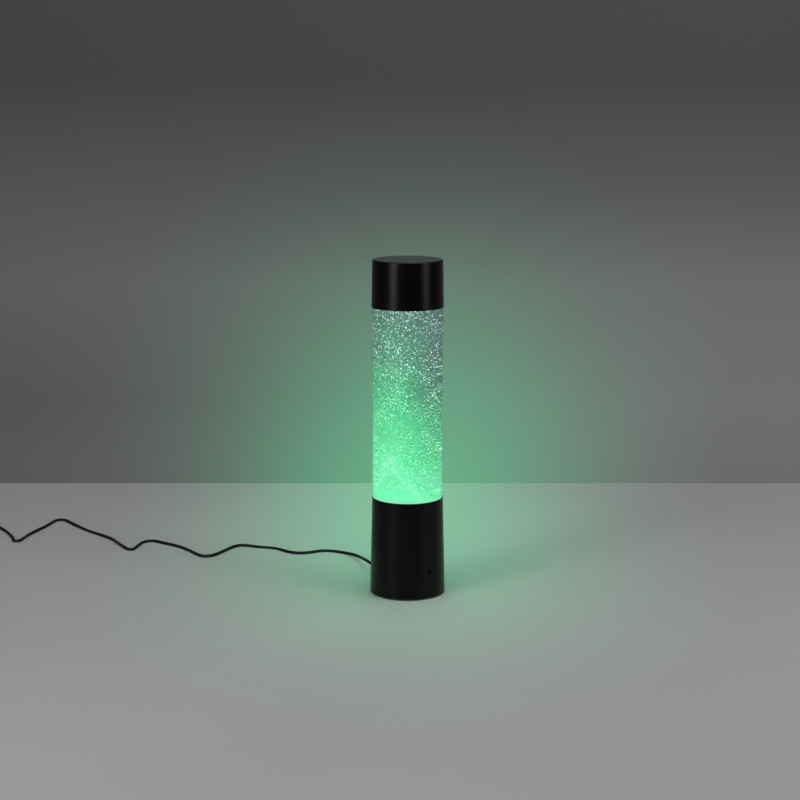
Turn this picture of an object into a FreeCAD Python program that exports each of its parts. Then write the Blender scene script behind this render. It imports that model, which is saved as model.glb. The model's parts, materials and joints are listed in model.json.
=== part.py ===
import FreeCAD, Part
import math
import os

# A motor-driven glitter lamp: a black steel base and cap, a clear bottle of fluid between them,
# and a low-voltage lead with a USB plug. Millimetres, +Z up, the origin on the table under the
# middle of the base, the push button towards the front (-Y) and right.

# ---- driving dimensions ----
HEIGHT = 380.0
BASE_FOOT_RADIUS = 42.6
BASE_TOP_RADIUS = 40.1
BASE_TOP = 111.0
BASE_WALL = 0.8
BASE_RIM_ROUNDING = 0.5
CAP_MOUTH_RADIUS = 40.3
CAP_CROWN_RADIUS = 39.4
CAP_MOUTH = 327.0
CAP_WALL = 0.6
CAP_CROWN_ROUNDING = 2.0
TUBE_RADIUS = 39.3
TUBE_BORE = 36.8

# ---- places round the axis, in degrees from +X ----
POST_ANGLES = (0, 90, 180, 270)
FOOT_ANGLES = (45, 135, 225, 315)
BRACKET_ANGLES = (45, 165, 285)
LED_BOARD_ANGLES = (105, 225, 345)
EMITTER_ANGLES = (0, 60, 120, 180, 240, 300)
ARMATURE_SLOT_ANGLES = (30, 90, 150, 210, 270, 330)
MAGNET_ANGLES = (0, 180)
BUTTON_ANGLE = 306
CORD_ANGLE = 120

# ---- screws: shank radius, head radius, head height, shank length ----
BOTTOM_SCREW = (1.5, 2.8, 1.5, 11.0)
BRACKET_SCREW = (1.25, 2.3, 1.3, 8.0)
LED_SCREW = (1.25, 2.3, 1.3, 7.0)
MOTOR_SCREW = (1.0, 1.9, 1.1, 2.6)
BOARD_SCREW = (1.0, 2.0, 1.2, 4.5)
CLAMP_SCREW = (1.05, 2.0, 1.2, 7.0)
SLOT_REACH = 0.6
SLOT_HALF_WIDTH = 0.15
SLOT_FLOOR = 0.45
THREAD_SLACK = 0.05
HOLE_SLACK = 0.15
PILOT_DEPTH = 8.0
POST_PILOT_DEPTH = 12.0

# ---- base: feet, bottom plate and frame ----
FOOT_HEIGHT = 1.8
FOOT_PROUD = 0.8
FOOT_RADIUS = 5.0
FOOT_DRAFT = 0.4
FOOT_CIRCLE = 33.0
FOOT_POCKET_SLACK = 0.1
PLATE_RADIUS = 42.4
PLATE_PLUG_RADIUS = 41.5
PLATE_TOP = 4.3
SCREW_SEAT = 2.6
SCREW_SEAT_RADIUS = 3.2
STANDOFF_RADIUS = 3.0
POST_CIRCLE = 34.2
POST_RADIUS = 3.5
SKIRT_RADIUS = 38.9
SOCKET_RADIUS = 37.6
SKIRT_LOW = 60.0
FLANGE_UNDERSIDE = BASE_TOP - BASE_WALL
LEDGE_LOW = 91.0
LEDGE_TOP = 95.0
LEDGE_RADIUS = 33.5
BOSS_RADIUS = 3.2
RIB_HALF_WIDTH = 1.25

# ---- base: light ----
DIFFUSER_SEAT_RADIUS = 31.5
DIFFUSER_RADIUS = 33.2
DIFFUSER_BORE = 15.0
DIFFUSER_LOW = 92.0
DIFFUSER_TOP = 94.0
LED_CIRCLE = 28.0
LED_BOARD_RADIUS = 30.5
LED_BOARD_BORE = 15.5
LED_BOARD_LOW = 84.0
LED_BOARD_TOP = 85.6
EMITTER_CIRCLE = 23.0
EMITTER_HALF = 2.5
EMITTER_TOP = LED_BOARD_TOP + 1.6
EMITTER_CHAMFER = 0.4

# ---- base: motor ----
BRACKET_CIRCLE = 30.0
BRACKET_LOW = 80.0
BRACKET_TOP = 82.0
BRACKET_PLATE_RADIUS = 17.0
BRACKET_ARM_START = 10.0
BRACKET_ARM_HALF = 4.0
MOTOR_RADIUS = 12.2
MOTOR_WALL = 0.6
MOTOR_LOW = 67.7
MOTOR_CAN_LOW = 69.2
MOTOR_BUSH_RADIUS = 3.0
MOTOR_BUSH_TOP = BRACKET_TOP - 0.4
BUSH_HOLE_RADIUS = 3.2
MOTOR_SCREW_CIRCLE = 8.5
TERMINAL_X = 6.0
TERMINAL_HALF_WIDTH = 0.9
TERMINAL_HALF_THICKNESS = 0.25
TERMINAL_LOW = MOTOR_LOW - 3.0
FIELD_BORE = 9.6
FIELD_LOW = 70.2
FIELD_TOP = 78.5
ARMATURE_RADIUS = 9.2
ARMATURE_LOW = 70.5
ARMATURE_TOP = 78.2
ARMATURE_SLOT_START = 4.5
ARMATURE_SLOT_HALF = 0.8
SHAFT_RADIUS = 1.0
SHAFT_CLEARANCE = 0.05
HOLDER_LOW = 88.0
HOLDER_TOP = 95.2
HOLDER_RADIUS = 13.0
HOLDER_CHAMFER = 0.6
MAGNET_CIRCLE = 7.2
MAGNET_RADIUS = 3.95
MAGNET_THICKNESS = 3.0
MAGNET_SLACK = 0.05

# ---- bottle ----
SEAT_TOP = 96.0
FLOOR_TOP = 99.0
SPIGOT_RADIUS = 37.2
SPIGOT_BORE = 34.2
BOTTLE_FLANGE_LOW = BASE_TOP + 0.2
TUBE_LOW = 113.2
TUBE_TOP = 331.0
FLUID_TOP = 327.5
FLUID_GAP = 0.05
LID_LOW = 331.6
LID_TOP = 334.0
LID_RADIUS = 39.1
LID_NECK_LOW = 328.5
LID_NECK_RADIUS = 36.4
SEAL_INSET = 0.1
UPSTAND_TOP = 352.0
UPSTAND_RADIUS = 34.0
UPSTAND_BORE = 31.5
SPOUT_RADIUS = 12.0
SPOUT_BORE = 9.0
SPOUT_TOP = 350.0
FILLER_SLACK = 0.02
FILLER_LOW = 335.6
FILLER_TOP = 352.5
SMALL_ROUNDING = 0.8

# ---- stirrer ----
PIVOT_RADIUS = 1.5
PIVOT_LOW = 98.5
PIVOT_TOP = 112.0
PIVOT_BOSS_RADIUS = 4.0
PIVOT_BOSS_TOP = 100.8
PIN_CAP_RADIUS = 3.0
PIN_CAP_TOP = 114.0
IMPELLER_LOW = 101.3
IMPELLER_DISC_TOP = 105.3
IMPELLER_DISC_RADIUS = 13.0
IMPELLER_TOP = 111.3
IMPELLER_RADIUS = 16.0
IMPELLER_HUB_RADIUS = 4.0
IMPELLER_ROOM_RADIUS = 17.0
IMPELLER_ROOM_TOP = 114.5
IMPELLER_MAGNET_CIRCLE = 8.2
IMPELLER_MAGNET_RADIUS = 2.95
BLADES = 6
BLADE_START = 3.0
BLADE_HALF = 0.7
BLADE_ROOT = 12.5

# ---- cap's inner sleeve ----
LINER_RADIUS = 38.2
LINER_BORE = 34.4
LINER_LOW = 334.1
LINER_CHAMFER = (1.2, 2.4)

# ---- push button and its switch, along the button's own direction ----
BUTTON_LEVEL = 31.0
BUTTON_RADIUS = 2.35
BUTTON_HOLE_RADIUS = 2.6
BUTTON_PROUD = 0.67
BUTTON_ROUNDING = 0.35
COLLAR_RADIUS = 3.4
COLLAR_THICKNESS = 1.0
COLLAR_GAP = 0.4
STEM_RADIUS = 1.6
STEM_START = 31.5
SWITCH_BACK = 24.0
SWITCH_FRONT = 36.5
SWITCH_HALF = 4.0
SWITCH_WELL_START = 28.0
SWITCH_WELL_RADIUS = 1.7
SWITCH_PIN_START = 22.0
SWITCH_PIN_RADIUS = 0.4
SWITCH_PIN_SIDE = 2.5
SWITCH_PIN_LEVEL = BUTTON_LEVEL - 2.0
SWITCH_POST_BACK = 30.0
SWITCH_POST_HALF = 6.0
SWITCH_WINDOW_HALF = 3.5
SWITCH_WINDOW_LOW = 8.3
SWITCH_WINDOW_TOP = 24.0

# ---- control board: places are (x, y), sizes are (x, y, z) ----
BOARD_LOW = 6.4
BOARD_TOP = 8.0
BOARD_LENGTH = 44.0
BOARD_WIDTH = 30.0
BOARD_ROUNDING = 2.0
BOARD_SCREW_PLACES = ((-19.0, -12.0), (-19.0, 12.0), (19.0, -12.0), (19.0, 12.0))
LEAD_SOCKET_START = 6.0
LEAD_SOCKET_HALF = 4.0
LEAD_SOCKET_TOP = 13.0
CHIP_PLACE = (4.0, -1.0)
CHIP_SIZE = (7.0, 5.0, 1.4)
INDUCTOR_PLACE = (12.0, 3.0)
INDUCTOR_SIZE = (6.0, 6.0, 3.0)
INDUCTOR_ROUNDING = 1.0
CAPACITOR_PLACE = (-15.0, 3.0)
CAPACITOR_RADIUS = 3.2
CAPACITOR_TOP = 16.0
CAPACITOR_ROUNDING = 0.5
SOCKET_SIZE = (6.0, 4.0, 5.0)
LED_SOCKET = (-12.0, -6.0)
MOTOR_SOCKET = (0.0, -8.0)
SWITCH_SOCKET = (10.0, -10.0)
SOCKET_TOP = BOARD_TOP + SOCKET_SIZE[2]
WIRE_RADIUS = 0.6
LED_WIRE_ROUTE = [LED_SOCKET + (SOCKET_TOP,), (-13.0, -6.5, 30.0), (-20.0, -8.5, 50.0),
                  (-21.5, -6.8, 68.0), (-20.9, -6.8, LED_BOARD_LOW)]
MOTOR_WIRE_ROUTE = [MOTOR_SOCKET + (SOCKET_TOP,), (0.5, -7.0, 30.0), (-1.0, -2.0, 48.0),
                    (0.0, -0.4, 60.0), (0.0, -0.4, TERMINAL_LOW)]
SWITCH_WIRE_START = [SWITCH_SOCKET + (SOCKET_TOP,), (9.4, -10.4, 20.0), (10.0, -13.5, 27.5)]
LED_WIRE_SPREAD = (0.0, 0.9)
MOTOR_WIRE_SPREAD = (1.2, 0.0)
SWITCH_WIRE_SPREAD = (0.9, 0.65)

# ---- lead: entry, clamp and strain relief, along the lead's own direction ----
CORD_LEVEL = 10.0
CORD_RADIUS = 1.9
CORD_SLACK = 0.05
CORD_HOLE_RADIUS = 3.5
CORD_ENTRY_RADIUS = 15.0
CLAMP_CIRCLE = 32.0
CLAMP_HALF_LENGTH = 3.0
CLAMP_HALF_WIDTH = 8.0
CLAMP_TOP = CORD_LEVEL + 3.0
CLAMP_SCREW_SIDES = (-5.5, 5.5)
CLAMP_PILOT_LOW = 3.0
PEDESTAL_HALF_LENGTH = 3.5
RELIEF_TIP_RADIUS = 64.4
RELIEF_FLANGE_RADIUS = 4.6
RELIEF_FLANGE = 1.6
RELIEF_NECK = 1.3
RELIEF_NECK_SLACK = 0.1
RELIEF_TAIL_RADII = (3.3, 2.35)
RELIEF_GROOVES = (4.0, 7.0, 10.0, 13.0, 16.0)
RELIEF_GROOVE_WIDTH = 1.0
RELIEF_GROOVE_RADIUS = 2.6
RELIEF_GROOVE_TAPER = 0.04

# ---- the free lead: from the strain relief's tip, down to the table and along it ----
LYING = CORD_RADIUS + 0.05
CORD_ROUTE = [
    (-32.2, 55.8, 10.0), (-42.5, 73.6, 9.8), (-50.5, 94.0, 8.8), (-57.0, 115.0, 6.0),
    (-64.0, 136.0, 3.0), (-79.0, 156.0, LYING), (-103.0, 165.0, LYING), (-123.0, 150.5, LYING),
    (-143.0, 152.0, LYING), (-163.0, 176.0, LYING), (-186.0, 180.0, LYING), (-204.0, 188.0, LYING),
    (-214.5, 182.5, LYING), (-223.0, 166.0, LYING), (-231.0, 149.0, LYING), (-239.0, 137.0, LYING),
    (-250.0, 136.0, LYING), (-259.0, 147.5, LYING), (-271.0, 167.0, LYING), (-287.0, 185.0, LYING),
    (-305.0, 197.0, LYING), (-320.0, 210.0, LYING), (-331.5, 205.0, LYING), (-335.5, 189.0, LYING),
    (-337.5, 175.5, LYING), (-339.5, 168.0, LYING), (-346.5, 168.7, LYING), (-352.0, 177.5, LYING),
    (-362.0, 195.0, LYING), (-372.0, 215.0, LYING), (-391.0, 237.0, LYING), (-412.0, 259.5, LYING),
    (-432.0, 285.0, LYING), (-445.0, 304.0, LYING), (-452.0, 314.0, LYING), (-462.0, 313.0, LYING),
    (-466.0, 298.0, LYING), (-471.0, 275.0, LYING), (-479.0, 251.0, LYING), (-485.0, 228.0, LYING),
    (-487.0, 214.0, LYING), (-489.0, 206.0, LYING), (-496.5, 207.0, LYING), (-498.5, 217.0, LYING),
    (-505.0, 234.0, LYING), (-518.0, 259.0, LYING), (-532.0, 278.0, LYING), (-543.4, 296.0, LYING)]
COIL_CENTRE = (-570.0, 300.0)
COIL_RADIUS = 21.0
COIL_HALF_WIDTH = 5.9
COIL_LOW = 0.05
COIL_TOP = 7.35
TIE_ANGLE = 120
COIL_INNER = COIL_RADIUS - COIL_HALF_WIDTH
COIL_OUTER = COIL_RADIUS + COIL_HALF_WIDTH
COIL_ROUNDING = 2.0
TIE_WIDTH = 5.0
TIE_THICKNESS = 0.5
TIE_SLACK = 0.05
TIE_ROUNDING = 0.9
TIE_INNER_ROUNDING = 0.4
TAIL_ROUTE = [(-583.0, 276.5, 3.0), (-576.5, 262.0, 4.05), (-571.0, 249.0, 4.05)]
PLUG_LEVEL = 4.05
PLUG_RELIEF = 12.0
PLUG_RELIEF_RADII = (2.4, 3.6)
PLUG_BODY = (22.0, 16.0, 8.0)
PLUG_ROUNDING = 2.4
PLUG_SHELL = (12.0, 12.0, 4.5)
PLUG_SHELL_START = PLUG_RELIEF + PLUG_BODY[0]
PLUG_SHELL_WALL = 0.3
PLUG_WINDOW = 2.2
PLUG_WINDOW_START = 5.5
PLUG_WINDOW_SIDES = (-2.9, 2.9)
TONGUE_THICKNESS = 1.7
TONGUE_SETBACK = 0.6
ARC_SHARE = 0.45

ORIGIN = FreeCAD.Vector(0, 0, 0)
UP = FreeCAD.Vector(0, 0, 1)
OUTWARD = FreeCAD.Vector(1, 0, 0)
LEVEL_TOLERANCE = 0.01
OVERCUT = 1.0


# ---- building blocks ----
def save(node, shape):
    """Write one sub-part under its own name."""
    shape.exportStep("parts/" + node + ".step")


def disc(radius, low, high, x=0.0, y=0.0):
    """An upright cylinder between two levels."""
    return Part.makeCylinder(radius, high - low, FreeCAD.Vector(x, y, low), UP)


def ring(outer, inner, low, high):
    """A flat or tall ring about the lamp's axis."""
    return disc(outer, low, high).cut(disc(inner, low, high))


def taper(radius_low, radius_high, low, high):
    """An upright cone frustum about the lamp's axis."""
    return Part.makeCone(radius_low, radius_high, high - low, FreeCAD.Vector(0, 0, low), UP)


def turned(outline):
    """A solid of revolution from (radius, level) points."""
    corners = [FreeCAD.Vector(radius, 0, level) for radius, level in outline]
    face = Part.Face(Part.makePolygon(corners + corners[:1]))
    return face.revolve(ORIGIN, UP, 360)


def block(x_low, x_high, half_width, low, high):
    """A box that is symmetrical about the XZ plane."""
    corner = FreeCAD.Vector(x_low, -half_width, low)
    return Part.makeBox(x_high - x_low, 2 * half_width, high - low, corner)


def rod(radius, x_low, x_high, level, y=0.0):
    """A cylinder along X at one level."""
    return Part.makeCylinder(radius, x_high - x_low, FreeCAD.Vector(x_low, y, level), OUTWARD)


def turned_to(shape, angle):
    """A copy of a shape, turned about the lamp's axis."""
    return shape.rotated(ORIGIN, UP, angle)


def group(shape, angles):
    """Separate copies of a solid round the lamp's axis."""
    return Part.makeCompound([turned_to(shape, angle) for angle in angles])


def level_edges(shape, level):
    """The edges of a shape that lie flat at one level."""
    return [edge for edge in shape.Edges
            if abs(edge.BoundBox.ZMin - level) < LEVEL_TOLERANCE
            and abs(edge.BoundBox.ZMax - level) < LEVEL_TOLERANCE]


def upright_edges(shape, height):
    """The edges of a shape that run straight up it for at least a given height."""
    return [edge for edge in shape.Edges
            if edge.BoundBox.ZLength > height - LEVEL_TOLERANCE
            and edge.BoundBox.XLength < LEVEL_TOLERANCE
            and edge.BoundBox.YLength < LEVEL_TOLERANCE]


def pan_screw(size):
    """A pan-head screw with a cross slot: its head sits on z = 0 and its shank points down."""
    shank, head, head_height, length = size
    slot_reach = SLOT_REACH * head
    slot_floor = SLOT_FLOOR * head_height
    dome = disc(head, 0, head_height)
    dome = dome.makeFillet(head_height / 2, level_edges(dome, head_height))
    slot = block(-slot_reach, slot_reach, SLOT_HALF_WIDTH * head, slot_floor, head_height)
    cross = slot.fuse(turned_to(slot, 90))
    return dome.cut(cross).fuse(disc(shank, -length, 0)).removeSplitter()


def pilot_hole(screw, low, high, x=0.0, y=0.0):
    """A hole that a screw's thread bites into."""
    return disc(screw[0] + THREAD_SLACK, low, high, x, y)


def clearance_hole(screw, low, high, x=0.0, y=0.0):
    """A hole that a screw's shank passes through freely."""
    return disc(screw[0] + HOLE_SLACK, low, high, x, y)


def box_at(place, size, level):
    """A box from its low corner's (x, y), its (x, y, z) size and the level it stands on."""
    return Part.makeBox(*size, FreeCAD.Vector(*place, level))


def arc_radius(before, corner, after):
    """The radius of the arc that rounds one corner of a route."""
    incoming = corner - before
    outgoing = after - corner
    trim = ARC_SHARE * min(incoming.Length, outgoing.Length)
    return trim / math.tan(incoming.getAngle(outgoing) / 2)


def rounded_corner(before, corner, after):
    """Where a corner's arc starts, its middle and where it ends."""
    incoming = corner - before
    outgoing = after - corner
    half_turn = incoming.getAngle(outgoing) / 2
    trim = ARC_SHARE * min(incoming.Length, outgoing.Length)
    radius = arc_radius(before, corner, after)
    incoming.normalize()
    outgoing.normalize()
    inward = (outgoing - incoming).normalize()
    start = corner - incoming * trim
    middle = corner + inward * (radius / math.cos(half_turn) - radius)
    end = corner + outgoing * trim
    return start, middle, end


def tube_along(route, radius):
    """A round tube along straight runs joined by tangent arcs."""
    points = [FreeCAD.Vector(*point) for point in route]
    edges = []
    start = points[0]
    for before, corner, after in zip(points, points[1:], points[2:]):
        arc_start, middle, arc_end = rounded_corner(before, corner, after)
        edges.append(Part.LineSegment(start, arc_start).toShape())
        edges.append(Part.Arc(arc_start, middle, arc_end).toShape())
        start = arc_end
    edges.append(Part.LineSegment(start, points[-1]).toShape())
    path = Part.Wire(edges)
    heading = points[1] - points[0]
    section = Part.Wire([Part.makeCircle(radius, points[0], heading)])
    return path.makePipeShell([section], True, False), path.Length


def report_cord(name, route, tube, length):
    """Print a tube's bend radii and how its volume compares with section times length."""
    points = [FreeCAD.Vector(*point) for point in route]
    radii = [arc_radius(*corner) for corner in zip(points, points[1:], points[2:])]
    expected = math.pi * CORD_RADIUS ** 2 * length
    print(name, "length %.1f" % length, "volume ratio %.4f" % (tube.Volume / expected))
    print(name, "radii", " ".join("%.1f" % radius for radius in radii))


def shell_radius(level):
    """The outer radius of the base shell at one level."""
    share = (level - FOOT_HEIGHT) / (BASE_TOP - FOOT_HEIGHT)
    return BASE_FOOT_RADIUS + (BASE_TOP_RADIUS - BASE_FOOT_RADIUS) * share


# ---- base: casing ----
def rubber_feet():
    foot = Part.makeCone(FOOT_RADIUS - FOOT_DRAFT, FOOT_RADIUS, FOOT_HEIGHT,
                         FreeCAD.Vector(FOOT_CIRCLE, 0, 0), UP)
    save("rubber_feet", group(foot, FOOT_ANGLES))


def cord_channel():
    """The room for the lead where the clamp holds it."""
    half = CLAMP_HALF_LENGTH + OVERCUT
    return rod(CORD_RADIUS + CORD_SLACK, CLAMP_CIRCLE - half, CLAMP_CIRCLE + half, CORD_LEVEL)


def bottom_plate():
    """The plate that closes the base, with the board's standoffs and the lead's pedestal."""
    plate = disc(PLATE_RADIUS, FOOT_PROUD, FOOT_HEIGHT).fuse(
        disc(PLATE_PLUG_RADIUS, FOOT_HEIGHT, PLATE_TOP))
    standoffs = [disc(STANDOFF_RADIUS, PLATE_TOP, BOARD_LOW, x, y) for x, y in BOARD_SCREW_PLACES]
    pedestal = block(CLAMP_CIRCLE - PEDESTAL_HALF_LENGTH, CLAMP_CIRCLE + PEDESTAL_HALF_LENGTH,
                     CLAMP_HALF_WIDTH, PLATE_TOP, CORD_LEVEL)
    plate = plate.fuse(standoffs + [turned_to(pedestal, CORD_ANGLE)]).removeSplitter()
    foot_pocket = disc(FOOT_RADIUS + FOOT_POCKET_SLACK, FOOT_PROUD, FOOT_HEIGHT, FOOT_CIRCLE)
    screw_seat = disc(SCREW_SEAT_RADIUS, FOOT_PROUD, SCREW_SEAT, POST_CIRCLE)
    screw_hole = clearance_hole(BOTTOM_SCREW, SCREW_SEAT, PLATE_TOP, POST_CIRCLE)
    cuts = [turned_to(foot_pocket, angle) for angle in FOOT_ANGLES]
    cuts += [turned_to(screw_seat, angle) for angle in POST_ANGLES]
    cuts += [turned_to(screw_hole, angle) for angle in POST_ANGLES]
    cuts += [pilot_hole(BOARD_SCREW, SCREW_SEAT, BOARD_LOW, x, y) for x, y in BOARD_SCREW_PLACES]
    cuts.append(turned_to(cord_channel(), CORD_ANGLE))
    for side in CLAMP_SCREW_SIDES:
        hole = pilot_hole(CLAMP_SCREW, CLAMP_PILOT_LOW, CORD_LEVEL, CLAMP_CIRCLE, side)
        cuts.append(turned_to(hole, CORD_ANGLE))
    save("bottom_plate", plate.cut(cuts))


def bottom_screws():
    screw = pan_screw(BOTTOM_SCREW).rotated(ORIGIN, OUTWARD, 180)
    screw.translate(FreeCAD.Vector(POST_CIRCLE, 0, SCREW_SEAT))
    save("bottom_screws", group(screw, POST_ANGLES))


def base_shell():
    """The painted casing: a slightly flared can with a mouth for the bottle and two side holes."""
    outer = taper(BASE_FOOT_RADIUS, BASE_TOP_RADIUS, FOOT_HEIGHT, BASE_TOP)
    outer = outer.makeFillet(BASE_RIM_ROUNDING, level_edges(outer, BASE_TOP))
    hollow = taper(BASE_FOOT_RADIUS - BASE_WALL, BASE_TOP_RADIUS - BASE_WALL,
                   FOOT_HEIGHT, FLANGE_UNDERSIDE)
    mouth = disc(SOCKET_RADIUS, FLANGE_UNDERSIDE, BASE_TOP)
    beyond = BASE_FOOT_RADIUS + OVERCUT
    button_hole = rod(BUTTON_HOLE_RADIUS, SOCKET_RADIUS, beyond, BUTTON_LEVEL)
    cord_hole = rod(CORD_HOLE_RADIUS, SOCKET_RADIUS, beyond, CORD_LEVEL)
    save("base_shell", outer.cut([hollow, mouth, turned_to(button_hole, BUTTON_ANGLE),
                                  turned_to(cord_hole, CORD_ANGLE)]))


def frame_boss(circle, high):
    """A screw boss with the rib that ties it to the frame's skirt."""
    rib_end = (SOCKET_RADIUS + SKIRT_RADIUS) / 2
    rib = block(circle, rib_end, RIB_HALF_WIDTH, SKIRT_LOW, high)
    return disc(BOSS_RADIUS, SKIRT_LOW, high, circle).fuse(rib)


def inner_frame():
    """The moulded frame: socket skirt, ledge for the bottle, four posts and six screw bosses."""
    skirt = ring(SKIRT_RADIUS, SOCKET_RADIUS, SKIRT_LOW, FLANGE_UNDERSIDE)
    ledge = ring(SOCKET_RADIUS, LEDGE_RADIUS, LEDGE_LOW, LEDGE_TOP)
    seat = ring(LEDGE_RADIUS, DIFFUSER_SEAT_RADIUS, LEDGE_LOW, DIFFUSER_LOW)
    solids = [ledge, seat]
    holes = []
    for angle in POST_ANGLES:
        solids.append(turned_to(disc(POST_RADIUS, PLATE_TOP, LEDGE_LOW, POST_CIRCLE), angle))
        holes.append(turned_to(pilot_hole(BOTTOM_SCREW, PLATE_TOP, PLATE_TOP + POST_PILOT_DEPTH,
                                          POST_CIRCLE), angle))
    for screw, circle, high, angles in (
            (BRACKET_SCREW, BRACKET_CIRCLE, BRACKET_LOW, BRACKET_ANGLES),
            (LED_SCREW, LED_CIRCLE, LED_BOARD_LOW, LED_BOARD_ANGLES)):
        boss = frame_boss(circle, high)
        hole = pilot_hole(screw, high - PILOT_DEPTH, high, circle)
        solids += [turned_to(boss, angle) for angle in angles]
        holes += [turned_to(hole, angle) for angle in angles]
    save("inner_frame", skirt.fuse(solids).removeSplitter().cut(holes))


def seat_gasket():
    save("seat_gasket", ring(SPIGOT_RADIUS, SPIGOT_BORE, LEDGE_TOP, SEAT_TOP))


# ---- base: light ----
def diffuser_ring():
    save("diffuser_ring", ring(DIFFUSER_RADIUS, DIFFUSER_BORE, DIFFUSER_LOW, DIFFUSER_TOP))


def led_board():
    board = ring(LED_BOARD_RADIUS, LED_BOARD_BORE, LED_BOARD_LOW, LED_BOARD_TOP)
    hole = clearance_hole(LED_SCREW, LED_BOARD_LOW, LED_BOARD_TOP, LED_CIRCLE)
    save("led_board", board.cut([turned_to(hole, angle) for angle in LED_BOARD_ANGLES]))


def led_board_screws():
    screw = pan_screw(LED_SCREW)
    screw.translate(FreeCAD.Vector(LED_CIRCLE, 0, LED_BOARD_TOP))
    save("led_board_screws", group(screw, LED_BOARD_ANGLES))


def led_emitters():
    body = block(EMITTER_CIRCLE - EMITTER_HALF, EMITTER_CIRCLE + EMITTER_HALF, EMITTER_HALF,
                 LED_BOARD_TOP, EMITTER_TOP)
    body = body.makeChamfer(EMITTER_CHAMFER, level_edges(body, EMITTER_TOP))
    save("led_emitters", group(body, EMITTER_ANGLES))


# ---- base: motor ----
def motor_bracket():
    """A round plate with three arms that carries the motor."""
    arm = block(BRACKET_ARM_START, BRACKET_CIRCLE, BRACKET_ARM_HALF, BRACKET_LOW, BRACKET_TOP)
    arm = arm.fuse(disc(BRACKET_ARM_HALF, BRACKET_LOW, BRACKET_TOP, BRACKET_CIRCLE))
    plate = disc(BRACKET_PLATE_RADIUS, BRACKET_LOW, BRACKET_TOP)
    plate = plate.fuse([turned_to(arm, angle) for angle in BRACKET_ANGLES]).removeSplitter()
    arm_hole = clearance_hole(BRACKET_SCREW, BRACKET_LOW, BRACKET_TOP, BRACKET_CIRCLE)
    motor_hole = clearance_hole(MOTOR_SCREW, BRACKET_LOW, BRACKET_TOP, MOTOR_SCREW_CIRCLE)
    holes = [disc(BUSH_HOLE_RADIUS, BRACKET_LOW, BRACKET_TOP)]
    holes += [turned_to(arm_hole, angle) for angle in BRACKET_ANGLES]
    holes += [turned_to(motor_hole, angle) for angle in MAGNET_ANGLES]
    save("motor_bracket", plate.cut(holes))


def bracket_screws():
    screw = pan_screw(BRACKET_SCREW)
    screw.translate(FreeCAD.Vector(BRACKET_CIRCLE, 0, BRACKET_TOP))
    save("bracket_screws", group(screw, BRACKET_ANGLES))


def motor_can():
    """A drawn can, open below, with the shaft's bush on its roof."""
    roof = BRACKET_LOW - MOTOR_WALL
    can = disc(MOTOR_RADIUS, MOTOR_CAN_LOW, BRACKET_LOW)
    can = can.cut(disc(MOTOR_RADIUS - MOTOR_WALL, MOTOR_CAN_LOW, roof))
    can = can.fuse(disc(MOTOR_BUSH_RADIUS, roof, MOTOR_BUSH_TOP)).removeSplitter()
    screw_hole = pilot_hole(MOTOR_SCREW, roof, BRACKET_LOW, MOTOR_SCREW_CIRCLE)
    holes = [disc(SHAFT_RADIUS + SHAFT_CLEARANCE, roof, MOTOR_BUSH_TOP)]
    holes += [turned_to(screw_hole, angle) for angle in MAGNET_ANGLES]
    save("motor_can", can.cut(holes))


def motor_field_magnet():
    save("motor_field_magnet", ring(MOTOR_RADIUS - MOTOR_WALL, FIELD_BORE, FIELD_LOW, FIELD_TOP))


def motor_end_cap():
    cap = disc(MOTOR_RADIUS, MOTOR_LOW, MOTOR_CAN_LOW)
    terminals = [block(x - TERMINAL_HALF_WIDTH, x + TERMINAL_HALF_WIDTH, TERMINAL_HALF_THICKNESS,
                       TERMINAL_LOW, MOTOR_LOW) for x in (-TERMINAL_X, TERMINAL_X)]
    cap = cap.fuse(terminals).removeSplitter()
    save("motor_end_cap", cap.cut(disc(SHAFT_RADIUS + SHAFT_CLEARANCE, MOTOR_LOW, MOTOR_CAN_LOW)))


def motor_screws():
    screw = pan_screw(MOTOR_SCREW)
    screw.translate(FreeCAD.Vector(MOTOR_SCREW_CIRCLE, 0, BRACKET_TOP))
    save("motor_screws", group(screw, MAGNET_ANGLES))


# ---- rotor ----
def motor_shaft():
    save("motor_shaft", disc(SHAFT_RADIUS, MOTOR_LOW, DIFFUSER_LOW))


def motor_armature():
    core = disc(ARMATURE_RADIUS, ARMATURE_LOW, ARMATURE_TOP)
    slot = block(ARMATURE_SLOT_START, ARMATURE_RADIUS + OVERCUT, ARMATURE_SLOT_HALF,
                 ARMATURE_LOW, ARMATURE_TOP)
    slots = [turned_to(slot, angle) for angle in ARMATURE_SLOT_ANGLES]
    save("motor_armature", core.cut(slots + [disc(SHAFT_RADIUS, ARMATURE_LOW, ARMATURE_TOP)]))


def magnet_holder():
    pocket_low = HOLDER_TOP - MAGNET_THICKNESS
    pocket = disc(MAGNET_RADIUS + MAGNET_SLACK, pocket_low, HOLDER_TOP, MAGNET_CIRCLE)
    holder = disc(HOLDER_RADIUS, HOLDER_LOW, HOLDER_TOP)
    holder = holder.makeChamfer(HOLDER_CHAMFER, level_edges(holder, HOLDER_LOW))
    cuts = [turned_to(pocket, angle) for angle in MAGNET_ANGLES]
    save("magnet_holder", holder.cut(cuts + [disc(SHAFT_RADIUS, HOLDER_LOW, DIFFUSER_LOW)]))


def drive_magnets():
    magnet = disc(MAGNET_RADIUS, HOLDER_TOP - MAGNET_THICKNESS, HOLDER_TOP, MAGNET_CIRCLE)
    save("drive_magnets", group(magnet, MAGNET_ANGLES))


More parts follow.
